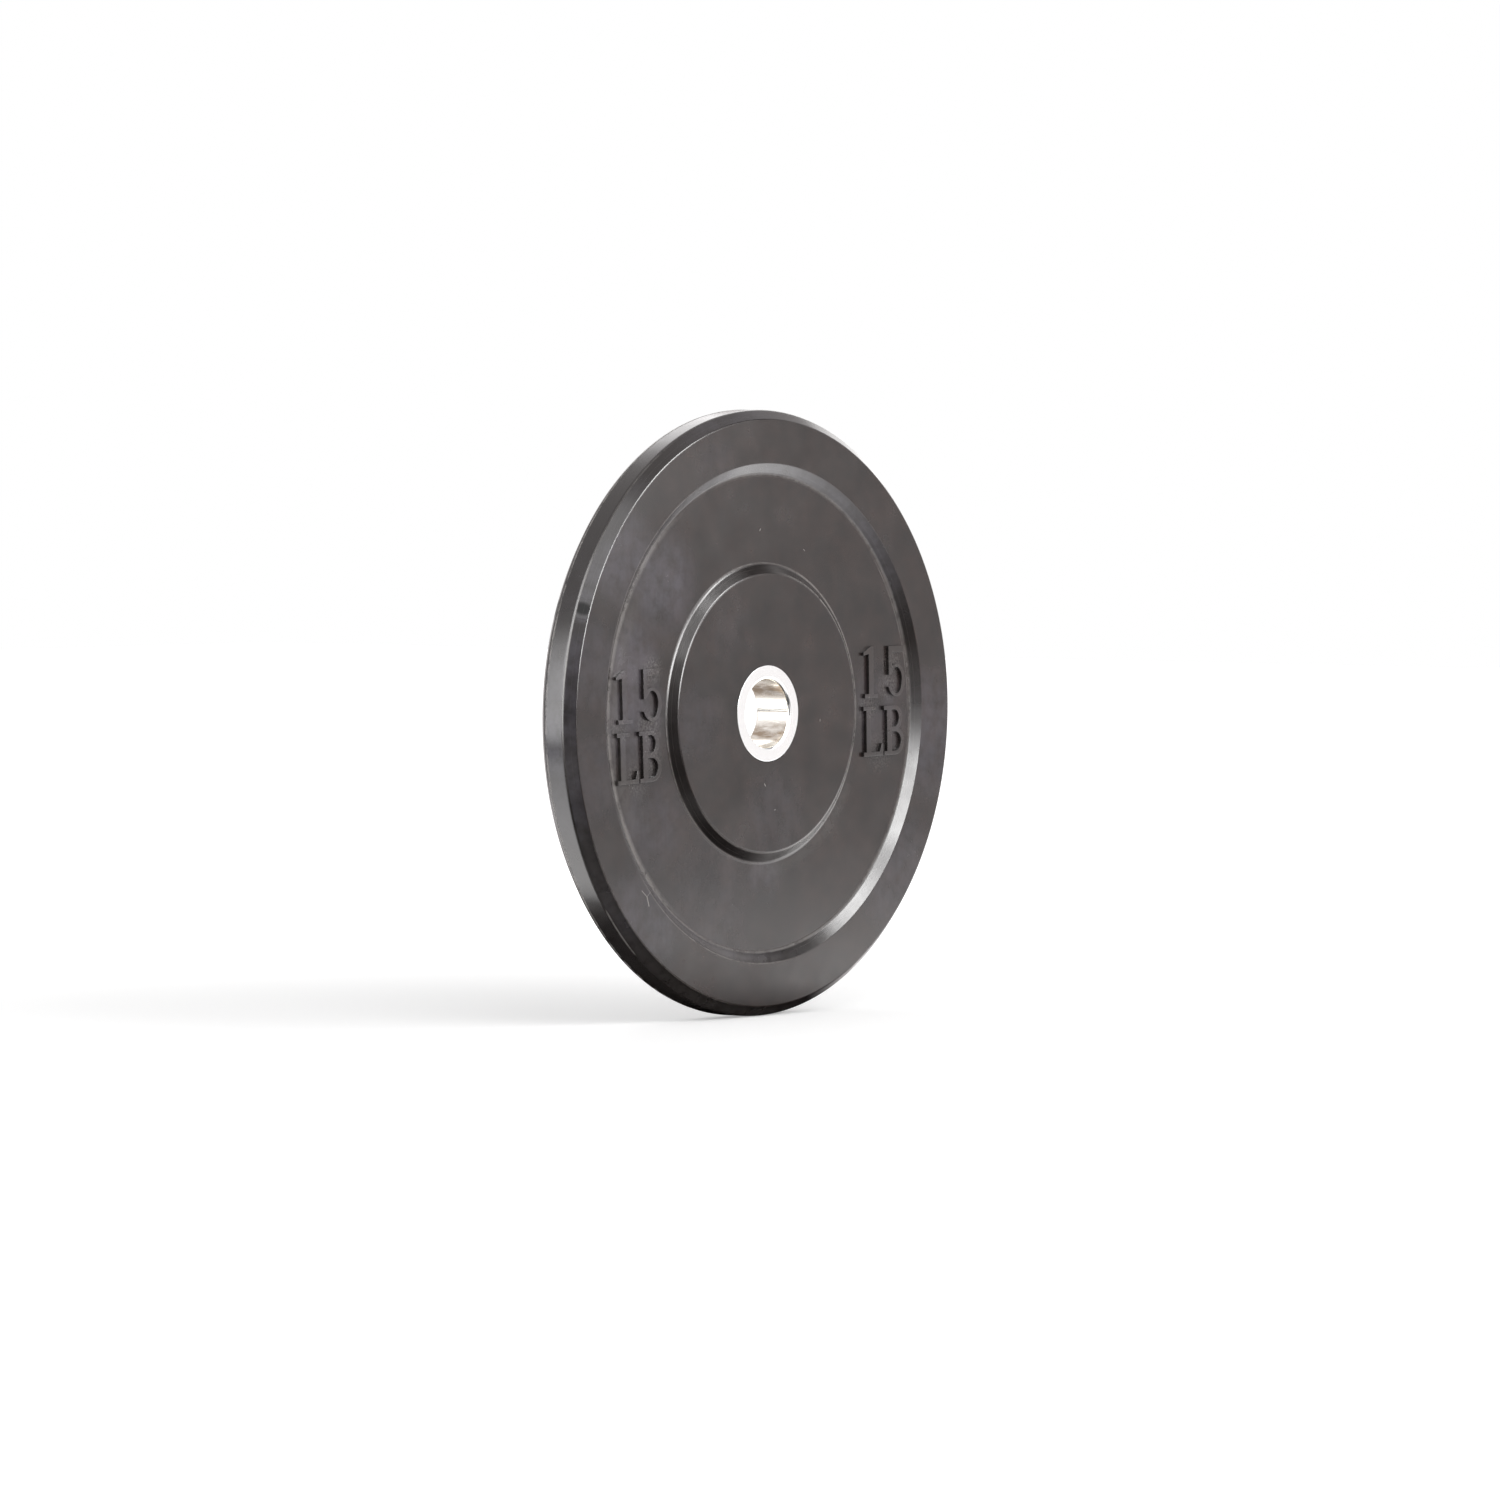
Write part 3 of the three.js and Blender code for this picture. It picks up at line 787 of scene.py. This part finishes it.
def layFloor():
    bpy.ops.object.select_all(action="DESELECT")
    bpy.ops.mesh.primitive_plane_add(size=studio["floorSize"],
                                     location=(0, 0, cadBox[0][2]))
    floor = bpy.context.object
    floor.name = "floor"
    bpy.ops.object.transform_apply(location=True)
    material, tree = newMaterial("white_paper")
    place = addNode(tree, "TexCoord").outputs["Object"]
    path = addNode(tree, "LightPath")
    away = addNode(tree, "VectorMath", {0: place}, operation="LENGTH").outputs["Value"]
    # seen by the camera the paper is white everywhere, and the plate's shadow stays on it
    lift = addNode(tree, "MapRange", {"Value": away, "From Min": studio["liftFrom"],
                                      "From Max": studio["liftTo"],
                                      "To Min": studio["nearLift"],
                                      "To Max": studio["farLift"]},
                   interpolation_type="SMOOTHSTEP")
    seen = addNode(tree, "Math", {0: path.outputs["Is Camera Ray"], 1: lift.outputs[0]},
                   operation="MULTIPLY")
    paper = addNode(tree, "BsdfPrincipled", {
        "Base Color": linearColour(studio["floorColour"]), "Roughness": 0.9,
        "Emission Color": (1, 1, 1, 1), "Emission Strength": seen.outputs[0]})
    # mirrored in the rubber it is white too, but dark underfoot and in a strip past its
    # front edge, up to the white board that lies in front
    under = addNode(tree, "VectorMath", {0: place, 1: studio["underfootAt"]},
                    operation="DISTANCE").outputs["Value"]
    foot = addNode(tree, "MapRange", {"Value": under, "From Min": studio["underfoot"],
                                      "From Max": studio["underfootEnd"]})
    forward = addNode(tree, "VectorMath", {0: place, 1: studio["paperTowards"]},
                      operation="DOT_PRODUCT").outputs["Value"]
    edge = addNode(tree, "MapRange", {"Value": forward, "From Min": studio["paperEnd"],
                                      "From Max": studio["paperFade"],
                                      "To Min": 1.0, "To Max": studio["darkReflected"]})
    board = addNode(tree, "MapRange", {"Value": forward, "From Min": studio["boardFrom"],
                                       "From Max": studio["boardFull"]})
    edge = addNode(tree, "Math", {0: edge.outputs[0], 1: board.outputs[0]},
                   operation="MAXIMUM")
    outward = addNode(tree, "VectorMath", {0: place}, operation="NORMALIZE").outputs[0]
    shown = addNode(tree, "Math", {0: foot.outputs[0], 1: edge.outputs[0]},
                    operation="MULTIPLY")
    shown = addNode(tree, "Math", {0: shown.outputs[0], 1: wallShade(tree, outward)},
                    operation="MULTIPLY")
    mirrored = addNode(tree, "Emission", {"Color": studio["wallTint"],
                                          "Strength": shown.outputs[0]})
    either = addNode(tree, "MixShader", {0: path.outputs["Is Glossy Ray"],
                                         1: paper.outputs[0], 2: mirrored.outputs[0]})
    addNode(tree, "OutputMaterial", {"Surface": either.outputs[0]})
    dress(floor, material)


def hangLamps():
    for name, place, aim, width, height, glow in studio["lamps"]:
        bpy.ops.object.select_all(action="DESELECT")
        bpy.ops.object.light_add(type="AREA")
        lamp = bpy.context.object
        lamp.name = name
        lamp.data.shape = "RECTANGLE"
        lamp.data.size, lamp.data.size_y = width, height
        lamp.data.energy = studio["lampWatts"] * width * height * glow
        lamp.visible_camera = False
        lamp.visible_diffuse = name not in studio["highlightsOnly"]
        lookTowards(lamp, place, aim)


def lightWorld():
    world = bpy.data.worlds.new("studio")
    bpy.context.scene.world = world
    world.use_nodes = True
    tree = world.node_tree
    tree.nodes.clear()
    path = addNode(tree, "LightPath")
    direction = addNode(tree, "TexCoord").outputs["Generated"]
    bounced = addNode(tree, "Mix", {"Factor": path.outputs["Is Glossy Ray"],
                                    2: studio["fill"], 3: wallShade(tree, direction)})
    strength = addNode(tree, "Mix", {"Factor": path.outputs["Is Camera Ray"],
                                     2: bounced.outputs[0], 3: 1.0})
    colour = addNode(tree, "Mix", {"Factor": path.outputs["Is Glossy Ray"],
                                   6: (1, 1, 1, 1), 7: studio["wallTint"]}, data_type="RGBA")
    shader = addNode(tree, "Background", {"Color": colour.outputs[2],
                                          "Strength": strength.outputs[0]})
    addNode(tree, "OutputWorld", {"Surface": shader.outputs[0]})


layFloor()
hangLamps()
lightWorld()
bpy.context.scene.view_settings.view_transform = "Standard"
print("studio lit")

# The camera stands where the photograph was taken from, 5.3 m away behind a long lens
photoView = {
    "place": (-4.13115, -3.38246, 0.18292), "aim": (-0.00128, -0.00004, -0.02748),
    "lens": 172.8, "sensor": 36.0, "farClip": 100,
}


def placeCamera():
    bpy.ops.object.select_all(action="DESELECT")
    bpy.ops.object.camera_add()
    camera = bpy.context.object
    camera.name = "photo_camera"
    camera.data.sensor_fit = "HORIZONTAL"
    camera.data.sensor_width = photoView["sensor"]
    camera.data.lens = photoView["lens"]
    camera.data.clip_end = photoView["farClip"]
    lookTowards(camera, photoView["place"], photoView["aim"])
    bpy.context.scene.camera = camera


placeCamera()
print("camera placed")
